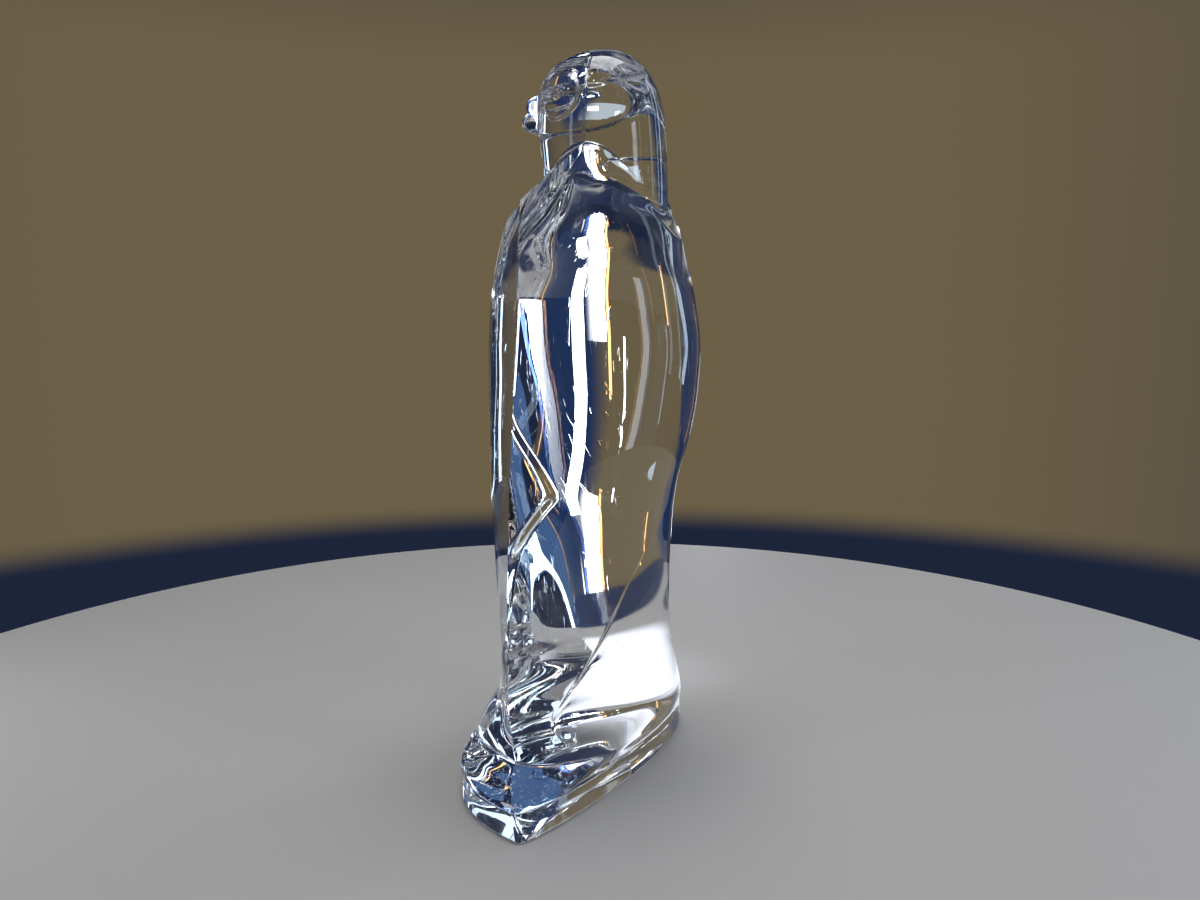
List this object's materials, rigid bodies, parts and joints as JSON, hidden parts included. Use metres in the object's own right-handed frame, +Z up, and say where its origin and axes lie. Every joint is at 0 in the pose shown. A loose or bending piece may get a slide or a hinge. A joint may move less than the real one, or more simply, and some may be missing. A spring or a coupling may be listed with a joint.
{
  "type": "crystal bird sculpture",
  "caption": "Solid clear crystal falcon with folded wings, turned head and hooked beak, standing on a low solid foot.",
  "frame": {"origin": "centre of the bounding box at the flat underside", "axes": "+Z up along the standing bird, -Y the way the breast faces, +X the bird's left side"},
  "size_m": [0.0692, 0.1118, 0.24],
  "materials": {
    "crystal": "clear polished crystal"
  },
  "bodies": {
    "root": {"crystal_falcon": "crystal"}
  },
  "joints": []
}
